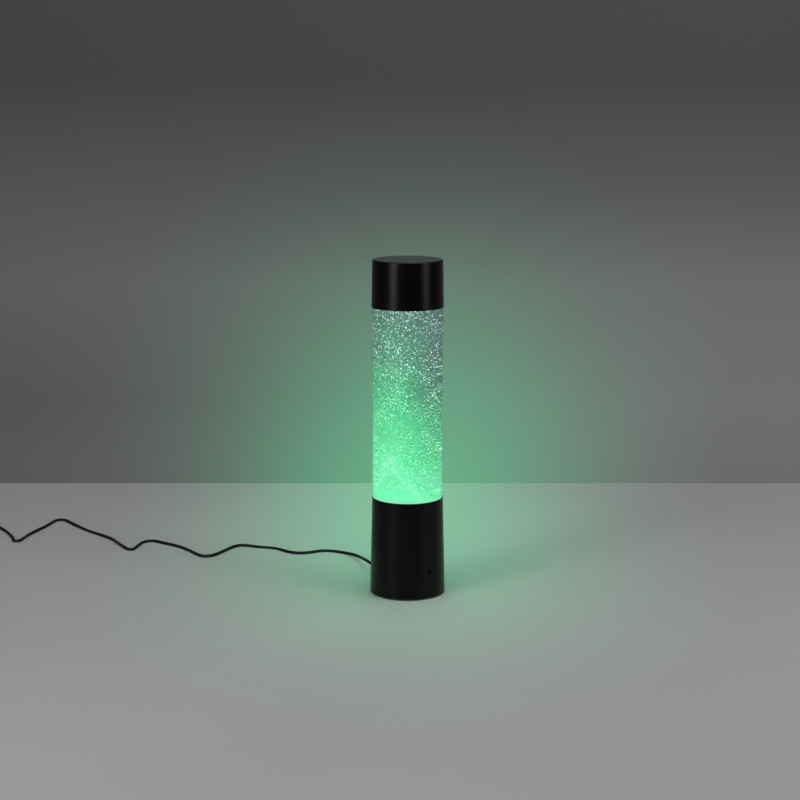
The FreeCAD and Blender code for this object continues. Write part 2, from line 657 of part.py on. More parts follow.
# ---- impeller ----
def impeller():
    """The stirrer: a disc on a hub, with upright blades and two magnet pockets underneath."""
    hub = disc(IMPELLER_HUB_RADIUS, IMPELLER_LOW, IMPELLER_TOP)
    plate = disc(IMPELLER_DISC_RADIUS, IMPELLER_LOW, IMPELLER_DISC_TOP)
    blade = block(BLADE_START, IMPELLER_RADIUS, BLADE_HALF, IMPELLER_DISC_TOP, IMPELLER_TOP)
    root = block(BLADE_START, BLADE_ROOT, BLADE_HALF, IMPELLER_LOW, IMPELLER_DISC_TOP)
    blades = [turned_to(blade.fuse(root), 360 / BLADES * count) for count in range(BLADES)]
    body = hub.fuse([plate] + blades).removeSplitter()
    pocket = disc(IMPELLER_MAGNET_RADIUS + MAGNET_SLACK, IMPELLER_LOW,
                  IMPELLER_LOW + MAGNET_THICKNESS, IMPELLER_MAGNET_CIRCLE)
    cuts = [turned_to(pocket, angle) for angle in MAGNET_ANGLES]
    cuts.append(disc(PIVOT_RADIUS + SHAFT_CLEARANCE, IMPELLER_LOW, IMPELLER_TOP))
    save("impeller", body.cut(cuts))


def impeller_magnets():
    magnet = disc(IMPELLER_MAGNET_RADIUS, IMPELLER_LOW, IMPELLER_LOW + MAGNET_THICKNESS,
                  IMPELLER_MAGNET_CIRCLE)
    save("impeller_magnets", group(magnet, MAGNET_ANGLES))


# ---- bottle ----
def bottle_floor():
    """The moulded floor: a spigot that drops into the base, and a flange under the tube."""
    spigot = disc(SPIGOT_RADIUS, SEAT_TOP, BOTTLE_FLANGE_LOW)
    flange = disc(TUBE_RADIUS, BOTTLE_FLANGE_LOW, TUBE_LOW)
    cup = spigot.fuse(flange).cut(disc(SPIGOT_BORE, FLOOR_TOP, TUBE_LOW))
    cup = cup.fuse(disc(PIVOT_BOSS_RADIUS, PIVOT_LOW, PIVOT_BOSS_TOP)).removeSplitter()
    save("bottle_floor", cup.cut(disc(PIVOT_RADIUS, PIVOT_LOW, PIVOT_BOSS_TOP)))


def bottle_tube():
    save("bottle_tube", ring(TUBE_RADIUS, TUBE_BORE, TUBE_LOW, TUBE_TOP))


def pivot_pin():
    save("pivot_pin", disc(PIVOT_RADIUS, PIVOT_LOW, PIVOT_TOP))


def pin_cap():
    cap = disc(PIN_CAP_RADIUS, PIVOT_TOP, PIN_CAP_TOP)
    save("pin_cap", cap.makeFillet(SMALL_ROUNDING, level_edges(cap, PIN_CAP_TOP)))


def glitter_fluid():
    """The fluid, with a round room left free for the stirrer to turn in."""
    lower = disc(SPIGOT_BORE - FLUID_GAP, FLOOR_TOP + FLUID_GAP, TUBE_LOW + OVERCUT)
    upper = disc(TUBE_BORE - FLUID_GAP, TUBE_LOW + FLUID_GAP, FLUID_TOP)
    room = disc(IMPELLER_ROOM_RADIUS, FLOOR_TOP, IMPELLER_ROOM_TOP)
    save("glitter_fluid", lower.fuse(upper).removeSplitter().cut(room))


def bottle_lid():
    """The lid: a neck in the tube, a rim on it, an upstand for the cap and a filling spout."""
    outline = [(SPOUT_BORE, LID_LOW), (UPSTAND_RADIUS, LID_LOW), (UPSTAND_RADIUS, LID_NECK_LOW),
               (LID_NECK_RADIUS, LID_NECK_LOW), (LID_NECK_RADIUS, LID_LOW),
               (LID_RADIUS, LID_LOW), (LID_RADIUS, LID_TOP), (UPSTAND_RADIUS, LID_TOP),
               (UPSTAND_RADIUS, UPSTAND_TOP), (UPSTAND_BORE, UPSTAND_TOP),
               (UPSTAND_BORE, LID_TOP), (SPOUT_RADIUS, LID_TOP), (SPOUT_RADIUS, SPOUT_TOP),
               (SPOUT_BORE, SPOUT_TOP)]
    save("bottle_lid", turned(outline))


def lid_seal():
    save("lid_seal", ring(TUBE_RADIUS - SEAL_INSET, TUBE_BORE + SEAL_INSET, TUBE_TOP, LID_LOW))


def filler_plug():
    plug = disc(SPOUT_BORE - FILLER_SLACK, FILLER_LOW, SPOUT_TOP)
    plug = plug.fuse(disc(SPOUT_RADIUS, SPOUT_TOP, FILLER_TOP)).removeSplitter()
    save("filler_plug", plug.makeFillet(SMALL_ROUNDING, level_edges(plug, FILLER_TOP)))


# ---- cap ----
def cap_shell():
    """A pressed cap, open below, with a rounded crown."""
    outer = taper(CAP_MOUTH_RADIUS, CAP_CROWN_RADIUS, CAP_MOUTH, HEIGHT)
    outer = outer.makeFillet(CAP_CROWN_ROUNDING, level_edges(outer, HEIGHT))
    roof = HEIGHT - CAP_WALL
    hollow = taper(CAP_MOUTH_RADIUS - CAP_WALL, CAP_CROWN_RADIUS - CAP_WALL, CAP_MOUTH, roof)
    hollow = hollow.makeFillet(CAP_CROWN_ROUNDING - CAP_WALL, level_edges(hollow, roof))
    save("cap_shell", outer.cut(hollow))


def cap_liner():
    """The sleeve inside the cap that slips over the lid's upstand."""
    across, down = LINER_CHAMFER
    roof = HEIGHT - CAP_WALL
    outline = [(LINER_BORE, LINER_LOW), (LINER_RADIUS, LINER_LOW), (LINER_RADIUS, roof - down),
               (LINER_RADIUS - across, roof), (LINER_BORE, roof)]
    save("cap_liner", turned(outline))


# ---- push button and its switch ----
def power_button():
    """A round button with a collar behind the casing and a stem that reaches the switch."""
    face = shell_radius(BUTTON_LEVEL) + BUTTON_PROUD
    collar = shell_radius(BUTTON_LEVEL) - BASE_WALL - COLLAR_GAP
    head = rod(BUTTON_RADIUS, collar, face, BUTTON_LEVEL)
    rim = [edge for edge in head.Edges if edge.BoundBox.XMin > face - LEVEL_TOLERANCE]
    head = head.makeFillet(BUTTON_ROUNDING, rim)
    flange = rod(COLLAR_RADIUS, collar - COLLAR_THICKNESS, collar, BUTTON_LEVEL)
    stem = rod(STEM_RADIUS, STEM_START, collar - COLLAR_THICKNESS, BUTTON_LEVEL)
    save("power_button", turned_to(head.fuse([flange, stem]).removeSplitter(), BUTTON_ANGLE))


def switch_body():
    body = block(SWITCH_BACK, SWITCH_FRONT, SWITCH_HALF, BUTTON_LEVEL - SWITCH_HALF,
                 BUTTON_LEVEL + SWITCH_HALF)
    pins = [rod(SWITCH_PIN_RADIUS, SWITCH_PIN_START, SWITCH_BACK, SWITCH_PIN_LEVEL, side)
            for side in (-SWITCH_PIN_SIDE, SWITCH_PIN_SIDE)]
    well = rod(SWITCH_WELL_RADIUS, SWITCH_WELL_START, SWITCH_FRONT, BUTTON_LEVEL)
    save("switch_body", turned_to(body.fuse(pins).removeSplitter().cut(well), BUTTON_ANGLE))


def switch_holder():
    """A forked post that the switch drops into from above."""
    top = BUTTON_LEVEL + SWITCH_POST_HALF
    post = block(SWITCH_POST_BACK, SWITCH_FRONT, SWITCH_POST_HALF, PLATE_TOP, top)
    fork = block(SWITCH_POST_BACK, SWITCH_FRONT, SWITCH_HALF, BUTTON_LEVEL - SWITCH_HALF, top)
    window = block(SWITCH_POST_BACK, SWITCH_FRONT, SWITCH_WINDOW_HALF, SWITCH_WINDOW_LOW,
                   SWITCH_WINDOW_TOP)
    save("switch_holder", turned_to(post.cut([fork, window]), BUTTON_ANGLE))


# ---- control board ----
def control_board():
    corner = (-BOARD_LENGTH / 2, -BOARD_WIDTH / 2)
    thickness = BOARD_TOP - BOARD_LOW
    board = box_at(corner, (BOARD_LENGTH, BOARD_WIDTH, thickness), BOARD_LOW)
    board = board.makeFillet(BOARD_ROUNDING, upright_edges(board, thickness))
    save("control_board", board.cut([clearance_hole(BOARD_SCREW, BOARD_LOW, BOARD_TOP, x, y)
                                     for x, y in BOARD_SCREW_PLACES]))


def board_screws():
    screw = pan_screw(BOARD_SCREW)
    save("board_screws", Part.makeCompound([screw.translated(FreeCAD.Vector(x, y, BOARD_TOP))
                                            for x, y in BOARD_SCREW_PLACES]))


def board_parts():
    """The lead's socket, a chip, an inductor and a capacitor."""
    lead_socket = block(LEAD_SOCKET_START, CORD_ENTRY_RADIUS, LEAD_SOCKET_HALF, BOARD_TOP,
                        LEAD_SOCKET_TOP)
    chip = box_at(CHIP_PLACE, CHIP_SIZE, BOARD_TOP)
    inductor = box_at(INDUCTOR_PLACE, INDUCTOR_SIZE, BOARD_TOP)
    inductor = inductor.makeFillet(INDUCTOR_ROUNDING, upright_edges(inductor, INDUCTOR_SIZE[2]))
    capacitor = disc(CAPACITOR_RADIUS, BOARD_TOP, CAPACITOR_TOP, *CAPACITOR_PLACE)
    capacitor = capacitor.makeFillet(CAPACITOR_ROUNDING, level_edges(capacitor, CAPACITOR_TOP))
    save("board_parts", Part.makeCompound([turned_to(lead_socket, CORD_ANGLE), chip, inductor,
                                           capacitor]))


def wire_sockets():
    length, width, _ = SOCKET_SIZE
    save("wire_sockets", Part.makeCompound([
        box_at((x - length / 2, y - width / 2), SOCKET_SIZE, BOARD_TOP)
        for x, y in (LED_SOCKET, MOTOR_SOCKET, SWITCH_SOCKET)]))


def wire_pair(node, route, spread):
    """Two thin wires side by side along one route."""
    wires = []
    for side in (-1, 1):
        shifted = [(x + side * spread[0], y + side * spread[1], z) for x, y, z in route]
        wires.append(tube_along(shifted, WIRE_RADIUS)[0])
    save(node, Part.makeCompound(wires))


def led_wires():
    wire_pair("led_wires", LED_WIRE_ROUTE, LED_WIRE_SPREAD)


def motor_wires():
    wire_pair("motor_wires", MOTOR_WIRE_ROUTE, MOTOR_WIRE_SPREAD)


def switch_wires():
    angle = math.radians(BUTTON_ANGLE)
    pins = (SWITCH_PIN_START * math.cos(angle), SWITCH_PIN_START * math.sin(angle),
            SWITCH_PIN_LEVEL)
    wire_pair("switch_wires", SWITCH_WIRE_START + [pins], SWITCH_WIRE_SPREAD)


# ---- lead: where it enters the base ----
def lead_in():
    """The lead from its socket on the board to the tip of the strain relief."""
    save("lead_in", turned_to(rod(CORD_RADIUS, CORD_ENTRY_RADIUS, RELIEF_TIP_RADIUS, CORD_LEVEL),
                              CORD_ANGLE))


def cord_clamp():
    saddle = block(CLAMP_CIRCLE - CLAMP_HALF_LENGTH, CLAMP_CIRCLE + CLAMP_HALF_LENGTH,
                   CLAMP_HALF_WIDTH, CORD_LEVEL, CLAMP_TOP)
    cuts = [clearance_hole(CLAMP_SCREW, CORD_LEVEL, CLAMP_TOP, CLAMP_CIRCLE, side)
            for side in CLAMP_SCREW_SIDES]
    save("cord_clamp", turned_to(saddle.cut(cuts + [cord_channel()]), CORD_ANGLE))


def cord_clamp_screws():
    screw = pan_screw(CLAMP_SCREW)
    screws = [screw.translated(FreeCAD.Vector(CLAMP_CIRCLE, side, CLAMP_TOP))
              for side in CLAMP_SCREW_SIDES]
    save("cord_clamp_screws", turned_to(Part.makeCompound(screws), CORD_ANGLE))


def strain_relief():
    """A rubber grommet in the shell's hole, with a grooved tail that tapers to the cord."""
    outside = shell_radius(CORD_LEVEL) + RELIEF_NECK_SLACK
    inside = outside - RELIEF_NECK
    tail_start = outside + RELIEF_FLANGE
    inner_flange = rod(RELIEF_FLANGE_RADIUS, inside - RELIEF_FLANGE, inside, CORD_LEVEL)
    neck = rod(CORD_HOLE_RADIUS - RELIEF_NECK_SLACK, inside, outside, CORD_LEVEL)
    outer_flange = rod(RELIEF_FLANGE_RADIUS, outside, tail_start, CORD_LEVEL)
    tail = Part.makeCone(*RELIEF_TAIL_RADII, RELIEF_TIP_RADIUS - tail_start,
                         FreeCAD.Vector(tail_start, 0, CORD_LEVEL), OUTWARD)
    relief = inner_flange.fuse([neck, outer_flange, tail]).removeSplitter()
    cuts = [rod(CORD_RADIUS + CORD_SLACK, inside - RELIEF_FLANGE, RELIEF_TIP_RADIUS, CORD_LEVEL)]
    for along in RELIEF_GROOVES:
        start = outside + along
        end = start + RELIEF_GROOVE_WIDTH
        core = RELIEF_GROOVE_RADIUS - RELIEF_GROOVE_TAPER * (along - RELIEF_GROOVES[0])
        groove = rod(RELIEF_FLANGE_RADIUS, start, end, CORD_LEVEL)
        cuts.append(groove.cut(rod(core, start, end, CORD_LEVEL)))
    save("strain_relief", turned_to(relief.cut(cuts), CORD_ANGLE))


# ---- lead: the free cord, its coil, tie and plug ----
def cord():
    """The free lead up to its coil, and the short end between the coil and the plug."""
    for node, route in (("cord", CORD_ROUTE), ("cord_tail", TAIL_ROUTE)):
        tube, length = tube_along(route, CORD_RADIUS)
        report_cord(node, route, tube, length)
        save(node, tube)


def placed_on_coil(shape):
    """A shape built about the coil's own centre, put where the coil lies."""
    return shape.translated(FreeCAD.Vector(*COIL_CENTRE, 0))


def cord_coil():
    """The outer shape of the wound-up lead, drawn in where the tie holds it."""
    coil = ring(COIL_OUTER, COIL_INNER, COIL_LOW, COIL_TOP)
    coil = coil.makeFillet(COIL_ROUNDING, level_edges(coil, COIL_TOP))
    waist_inset = TIE_THICKNESS + TIE_SLACK
    room = block(COIL_INNER - OVERCUT, COIL_OUTER + OVERCUT, TIE_WIDTH / 2 + TIE_SLACK,
                 COIL_LOW - OVERCUT, COIL_TOP + OVERCUT)
    waist = block(COIL_INNER + waist_inset, COIL_OUTER - waist_inset, TIE_WIDTH,
                  COIL_LOW + waist_inset, COIL_TOP - waist_inset)
    save("cord_coil", placed_on_coil(coil.cut(turned_to(room.cut(waist), TIE_ANGLE))))


def cord_tie():
    """A flat band closed round the coil's bundle."""
    band = block(COIL_INNER, COIL_OUTER, TIE_WIDTH / 2, COIL_LOW, COIL_TOP)
    along = [edge for edge in band.Edges if edge.BoundBox.YLength > TIE_WIDTH - LEVEL_TOLERANCE]
    band = band.makeFillet(TIE_ROUNDING, along)
    hole = block(COIL_INNER + TIE_THICKNESS, COIL_OUTER - TIE_THICKNESS, TIE_WIDTH,
                 COIL_LOW + TIE_THICKNESS, COIL_TOP - TIE_THICKNESS)
    hole_along = [edge for edge in hole.Edges
                  if edge.BoundBox.YLength > 2 * TIE_WIDTH - LEVEL_TOLERANCE]
    hole = hole.makeFillet(TIE_INNER_ROUNDING, hole_along)
    save("cord_tie", placed_on_coil(turned_to(band.cut(hole), TIE_ANGLE)))


def plug_piece(shape):
    """A plug piece built along +X from the cord's end, put where the lead ends."""
    end = FreeCAD.Vector(*TAIL_ROUTE[-1])
    heading = end - FreeCAD.Vector(*TAIL_ROUTE[-2])
    angle = math.degrees(math.atan2(heading.y, heading.x))
    return turned_to(shape, angle).translated(FreeCAD.Vector(end.x, end.y, 0))


def usb_overmould():
    length, width, height = PLUG_BODY
    body = block(PLUG_RELIEF, PLUG_SHELL_START, width / 2, PLUG_LEVEL - height / 2,
                 PLUG_LEVEL + height / 2)
    along = [edge for edge in body.Edges if edge.BoundBox.XLength > length - LEVEL_TOLERANCE]
    body = body.makeFillet(PLUG_ROUNDING, along)
    relief = Part.makeCone(*PLUG_RELIEF_RADII, PLUG_RELIEF + OVERCUT,
                           FreeCAD.Vector(0, 0, PLUG_LEVEL), OUTWARD)
    save("usb_overmould", plug_piece(body.fuse(relief).removeSplitter()))


def usb_shell():
    """The plug's metal sleeve with its two pairs of windows."""
    length, width, height = PLUG_SHELL
    end = PLUG_SHELL_START + length
    low, high = PLUG_LEVEL - height / 2, PLUG_LEVEL + height / 2
    shell = block(PLUG_SHELL_START, end, width / 2, low, high)
    hollow = block(PLUG_SHELL_START, end, width / 2 - PLUG_SHELL_WALL, low + PLUG_SHELL_WALL,
                   high - PLUG_SHELL_WALL)
    windows = [box_at((PLUG_SHELL_START + PLUG_WINDOW_START, side - PLUG_WINDOW / 2),
                      (PLUG_WINDOW, PLUG_WINDOW, height + 2 * OVERCUT), low - OVERCUT)
               for side in PLUG_WINDOW_SIDES]
    save("usb_shell", plug_piece(shell.cut([hollow] + windows)))


def usb_contacts():
    """The tongue inside the plug's sleeve, which carries the contacts."""
    length, width, height = PLUG_SHELL
    low = PLUG_LEVEL - height / 2 + PLUG_SHELL_WALL
    tongue = block(PLUG_SHELL_START, PLUG_SHELL_START + length - TONGUE_SETBACK,
                   width / 2 - PLUG_SHELL_WALL, low, low + TONGUE_THICKNESS)
    save("usb_contacts", plug_piece(tongue))


def main():
    os.makedirs("parts", exist_ok=True)
    for build in (rubber_feet, bottom_plate, bottom_screws, base_shell, inner_frame, seat_gasket,
                  diffuser_ring, led_board, led_board_screws, led_emitters,
                  motor_bracket, bracket_screws, motor_can, motor_field_magnet, motor_end_cap,
                  motor_screws, motor_shaft, motor_armature, magnet_holder, drive_magnets,
                  impeller, impeller_magnets, bottle_floor, bottle_tube, pivot_pin, pin_cap,
                  glitter_fluid, bottle_lid, lid_seal, filler_plug, cap_shell, cap_liner,
                  power_button, switch_body, switch_holder, control_board, board_screws,
                  board_parts, wire_sockets, led_wires, motor_wires, switch_wires, lead_in,
                  cord_clamp, cord_clamp_screws, strain_relief, cord, cord_coil, cord_tie,
                  usb_overmould, usb_shell, usb_contacts):
        build()


main()
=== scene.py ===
import json
import math
import random

import bpy
from mathutils import Matrix, Vector, noise


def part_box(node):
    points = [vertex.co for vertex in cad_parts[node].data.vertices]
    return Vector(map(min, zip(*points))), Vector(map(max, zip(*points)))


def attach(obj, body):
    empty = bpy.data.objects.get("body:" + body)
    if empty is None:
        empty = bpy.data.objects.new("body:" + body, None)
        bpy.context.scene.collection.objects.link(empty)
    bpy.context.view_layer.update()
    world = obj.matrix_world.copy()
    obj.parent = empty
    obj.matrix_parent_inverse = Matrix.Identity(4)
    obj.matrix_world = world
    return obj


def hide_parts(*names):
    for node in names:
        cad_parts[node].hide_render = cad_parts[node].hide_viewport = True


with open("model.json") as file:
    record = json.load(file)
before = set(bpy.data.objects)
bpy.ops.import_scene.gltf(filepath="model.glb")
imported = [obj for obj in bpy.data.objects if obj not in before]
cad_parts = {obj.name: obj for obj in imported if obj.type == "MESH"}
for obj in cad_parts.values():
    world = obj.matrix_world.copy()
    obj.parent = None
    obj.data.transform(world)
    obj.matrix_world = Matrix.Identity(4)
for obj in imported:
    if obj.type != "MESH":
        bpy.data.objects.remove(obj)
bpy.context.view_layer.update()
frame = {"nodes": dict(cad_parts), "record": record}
nodes = frame["nodes"]

# A glitter lamp: black steel base and cap, a clear bottle of glitter fluid lit green from below,
# and a flat two-core lead. Metres, +Z up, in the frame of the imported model.

MM = 0.001

# ---- camera, room and light ----
CAMERA_PLACE = Vector((-0.0085, -1.9188, 0.5813))
CAMERA_PITCH = math.radians(10.62)
CAMERA_LENS = 78.33
SENSOR_WIDTH = 36.0

ROOM_REACH = 3.5
WALL_Y = 0.53
WALL_HEIGHT = 2.6
WALL_SHADED_TO = 0.6
WALL_LEFT_X = -0.55
WALL_RIGHT_X = 0.42
# The backdrop's painted shade at its left and right, up its height, darker toward the top and the left as
# studio light falls off: share of the shaded height, grey, blue.
WALL_LEFT_GREYS = ((0.05, 0.165, 0.167), (0.2, 0.137, 0.139), (0.48, 0.160, 0.162),
                   (0.7, 0.118, 0.120), (0.95, 0.066, 0.068))
WALL_RIGHT_GREYS = ((0.05, 0.290, 0.295), (0.2, 0.290, 0.295), (0.48, 0.235, 0.239),
                    (0.7, 0.138, 0.141), (0.95, 0.082, 0.084))

LAMP_MIDDLE = (0, 0, 0.2)
# Name, place, point aimed at, width, height and watts of each soft box.
SOFT_BOXES = (
    ("key_left", (-1.15, -1.1, 0.8), LAMP_MIDDLE, 0.55, 1.4, 11.5),
    ("key_right", (1.3, -0.75, 0.8), LAMP_MIDDLE, 0.55, 1.4, 6.2),
    ("overhead", (0.3, -0.4, 2.2), (0.1, -0.1, 0), 2.4, 1.6, 22.0))
SKY_COLOUR = (0.97, 0.98, 1.0)
SKY_STRENGTH = 0.06

# The lamp's green glow on the room: a light above the table and one in front of the backdrop.
FLOOR_GLOW_Y = 0.26
FLOOR_GLOW_ABOVE = 0.37
FLOOR_GLOW_SIZE = (0.1, 0.8)
FLOOR_GLOW_WATTS = 0.6
WALL_GLOW_Z = -0.03
WALL_GLOW_AWAY = 0.4
WALL_GLOW_SIZE = (0.2, 0.5)
WALL_GLOW_WATTS = 0.72
GLOW_COLOUR = (0.03, 1.0, 0.37)
GLOW_SPREAD = math.radians(95)

# ---- bottle and glitter ----
FLUID_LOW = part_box("glitter_fluid")[0].z
FLUID_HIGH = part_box("glitter_fluid")[1].z
FLUID_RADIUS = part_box("glitter_fluid")[1].x
TUBE_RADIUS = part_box("bottle_tube")[1].x
WALL_MIDDLE_RADIUS = (TUBE_RADIUS + FLUID_RADIUS) / 2
RIM_GLOW_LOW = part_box("bottle_tube")[0].z
RIM_GLOW_HIGH = RIM_GLOW_LOW + 0.8 * MM
FLUID_INDEX = 1.4
# The painted glow climbs highest this far left of the middle.
PLUME_ASIDE = 0.55 * FLUID_RADIUS

# Flakes keep off the fluid's ends and side, inside the spigot's bore, and out of the stirrer's way.
FLAKE_GAP_BELOW = 1.5 * MM
FLAKE_GAP_ABOVE = 1.0 * MM
FLAKE_GAP_ASIDE = 0.8 * MM
SPIGOT_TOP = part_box("bottle_floor")[1].z
SPIGOT_REACH = 32.8 * MM
STIRRER_REACH = 17.5 * MM
STIRRER_REACH_TOP = 115.5 * MM
FLAKE_CORNERS = 6
# A power under a half crowds the flakes toward the wall.
FLAKE_CROWDING = 0.32
# How tightly the wisps of glitter follow each other, and how thin the glitter is between them.
WISPS_ACROSS = 55
WISPS_UP = 38
WISPS_LEAN = 25
WISPS_LEAST = -0.22

# ---- plain materials by slot: dark and light colour, roughness range, grain, relief in millimetres,
# metallic share and specular level ----
PLAIN_MATERIALS = {
    "black_plastic": ((0.016, 0.016, 0.017), (0.024, 0.024, 0.025), (0.48, 0.6), 2200, 0.05, 0.0, 0.5),
    "black_button": ((0.0004, 0.0004, 0.0005), (0.0008, 0.0008, 0.0009), (0.2, 0.28), 1500, 0.01, 0.0, 0.04),
    "white_plastic": ((0.66, 0.65, 0.6), (0.78, 0.77, 0.73), (0.4, 0.55), 1800, 0.02, 0.0, 0.5),
    "frosted_plastic": ((0.75, 0.8, 0.78), (0.85, 0.88, 0.87), (0.5, 0.65), 2500, 0.04, 0.0, 0.5),
    "clear_silicone": ((0.55, 0.58, 0.57), (0.68, 0.7, 0.69), (0.45, 0.6), 1200, 0.03, 0.0, 0.5),
    "black_rubber": ((0.012, 0.012, 0.012), (0.022, 0.022, 0.022), (0.6, 0.78), 1900, 0.06, 0.0, 0.5),
    "black_cord": ((0.002, 0.002, 0.0022), (0.005, 0.005, 0.0054), (0.4, 0.55), 900, 0.03, 0.0, 0.25),
    "red_wire": ((0.42, 0.02, 0.015), (0.55, 0.04, 0.03), (0.3, 0.4), 900, 0.01, 0.0, 0.5),
    "board_green": ((0.01, 0.11, 0.04), (0.02, 0.17, 0.06), (0.25, 0.35), 1400, 0.02, 0.0, 0.5),
    "zinc_steel": ((0.48, 0.48, 0.5), (0.62, 0.62, 0.6), (0.28, 0.42), 1600, 0.01, 1.0, 0.5),
    "nickel_steel": ((0.6, 0.59, 0.56), (0.7, 0.69, 0.66), (0.14, 0.24), 1200, 0.01, 1.0, 0.5),
    "copper_steel": ((0.5, 0.22, 0.1), (0.66, 0.34, 0.18), (0.3, 0.45), 2400, 0.05, 1.0, 0.5),
    "ferrite": ((0.04, 0.04, 0.042), (0.07, 0.07, 0.074), (0.5, 0.7), 2000, 0.03, 0.0, 0.5),
}

# ---- lead: a flat cord along the same route as the CAD tube ----
CORD_WIDTH = 3.8 * MM
CORD_HEIGHT = 2.0 * MM
CORD_SIDES = 20
# How thick the web between the two cores is, as a share of a core.
CORD_WEB = 0.72
# Height of the cord's middle on the table, in millimetres.
LYING = 1.2
# The free stretch, in millimetres, from the strain relief to the coil.
CORD_ROUTE = [
    (-32.2, 55.8, 10.0), (-42.5, 73.6, 9.8), (-50.5, 94.0, 8.8), (-57.0, 115.0, 6.0),
    (-64.0, 136.0, 3.0), (-79.0, 156.0, LYING), (-103.0, 165.0, LYING), (-123.0, 150.5, LYING),
    (-143.0, 152.0, LYING), (-163.0, 176.0, LYING), (-186.0, 180.0, LYING), (-204.0, 188.0, LYING),
    (-214.5, 182.5, LYING), (-223.0, 166.0, LYING), (-231.0, 149.0, LYING), (-239.0, 137.0, LYING),
    (-250.0, 136.0, LYING), (-259.0, 147.5, LYING), (-271.0, 167.0, LYING), (-287.0, 185.0, LYING),
    (-305.0, 197.0, LYING), (-320.0, 210.0, LYING), (-331.5, 205.0, LYING), (-335.5, 189.0, LYING),
    (-337.5, 175.5, LYING), (-339.5, 168.0, LYING), (-346.5, 168.7, LYING), (-352.0, 177.5, LYING),
    (-362.0, 195.0, LYING), (-372.0, 215.0, LYING), (-391.0, 237.0, LYING), (-412.0, 259.5, LYING),
    (-432.0, 285.0, LYING), (-445.0, 304.0, LYING), (-452.0, 314.0, LYING), (-462.0, 313.0, LYING),
    (-466.0, 298.0, LYING), (-471.0, 275.0, LYING), (-479.0, 251.0, LYING), (-485.0, 228.0, LYING),
    (-487.0, 214.0, LYING), (-489.0, 206.0, LYING), (-496.5, 207.0, LYING), (-498.5, 217.0, LYING),
    (-505.0, 234.0, LYING), (-518.0, 259.0, LYING), (-532.0, 278.0, LYING), (-543.4, 296.0, LYING)]
TAIL_ROUTE = [(-583.0, 276.5, 2.6), (-576.5, 262.0, 4.05), (-571.0, 249.0, 4.05)]
# The coil, in millimetres and degrees: its line circles the middle and winds round the bundle.
COIL_CENTRE = (-570.0, 300.0)
COIL_RADIUS = 21.0
COIL_SPREAD = 3.4
COIL_LIFT = 2.1
COIL_LEVEL = 3.7
COIL_TURNS = 4.5
COIL_START = 30.0
COIL_PHASE_START = -90.0
COIL_PHASE_STEP = 72.0
POINTS_PER_TURN = 16
POINTS_PER_CONTROL = 10

# The flat cord rolls on its side and back along its free stretch: a wave under a slower one.
# The mean and the swing are in degrees, the lengths and the fades in metres.
ROLL_MEAN = 45
ROLL_SWING = 43
ROLL_LENGTH = 0.155
ROLL_PHASE = -0.54
SLOW_ROLL_LENGTH = 0.49
SLOW_ROLL_PHASE = 1.1
ROLL_FADE_IN = 0.03
ROLL_FADE_OUT = 0.06


# ---- scene and mesh helpers ----
def link(obj):
    """Put a new object in the scene."""
    bpy.context.scene.collection.objects.link(obj)
    return obj


def mesh_object(name, vertices, faces, smooth=False):
    """An object from plain vertex and face lists."""
    mesh = bpy.data.meshes.new(name)
    mesh.from_pydata(vertices, [], faces)
    mesh.validate()
    if smooth:
        mesh.shade_smooth()
    return link(bpy.data.objects.new(name, mesh))


# ---- shader helpers ----
def new_material(name):
    """A node material, its node tree and its Principled shader."""
    material = bpy.data.materials.new(name)
    material.use_nodes = True
    tree = material.node_tree
    return material, tree, tree.nodes["Principled BSDF"]


def feed(tree, socket, value):
    """Link another node's output to a socket, or set the socket's own number, vector or colour."""
    if isinstance(value, bpy.types.NodeSocket):
        tree.links.new(value, socket)
    elif socket.type == "RGBA":
        socket.default_value = (*value, 1.0)
    else:
        socket.default_value = value


def feed_all(tree, node, inputs):
    """Feed a node's sockets by name."""
    for name, value in inputs.items():
        feed(tree, node.inputs[name], value)
    return node


def add_node(tree, kind, inputs):
    """A new node with some of its sockets fed by name."""
    return feed_all(tree, tree.nodes.new(kind), inputs)


def object_place(tree):
    """The surface point in the piece's own space."""
    return tree.nodes.new("ShaderNodeTexCoord").outputs["Object"]


def split(tree, vector):
    """The X, Y and Z of a vector, by name."""
    return add_node(tree, "ShaderNodeSeparateXYZ", {"Vector": vector}).outputs


def noise_of(tree, scale, detail=2, stretch=(1.0, 1.0, 1.0)):
    """A noise pattern fixed to the piece."""
    mapping = add_node(tree, "ShaderNodeMapping", {"Vector": object_place(tree), "Scale": stretch})
    texture = add_node(tree, "ShaderNodeTexNoise",
                       {"Vector": mapping.outputs["Vector"], "Scale": scale, "Detail": detail})
    return texture.outputs["Fac"]


def spread_of(tree, value, low, high, from_low=0.3, from_high=0.7):
    """A value mapped to a range, by default from the range that most of a noise lies in."""
    node = add_node(tree, "ShaderNodeMapRange",
                    {"Value": value, "From Min": from_low, "From Max": from_high,
                     "To Min": low, "To Max": high})
    return node.outputs["Result"]


def calc(tree, operation, *values):
    """One arithmetic step on sockets or numbers."""
    node = tree.nodes.new("ShaderNodeMath")
    node.operation = operation
    for socket, value in zip(node.inputs, values):
        feed(tree, socket, value)
    return node.outputs["Value"]


def colours_of(tree, value, stops):
    """A colour ramp over a value: stops are (position, colour)."""
    node = add_node(tree, "ShaderNodeValToRGB", {"Fac": value})
    elements = node.color_ramp.elements
    elements.remove(elements[1])
    elements[0].position = stops[0][0]
    elements[0].color = (*stops[0][1], 1.0)
    for position, colour in stops[1:]:
        elements.new(position).color = (*colour, 1.0)
    return node.outputs["Color"]


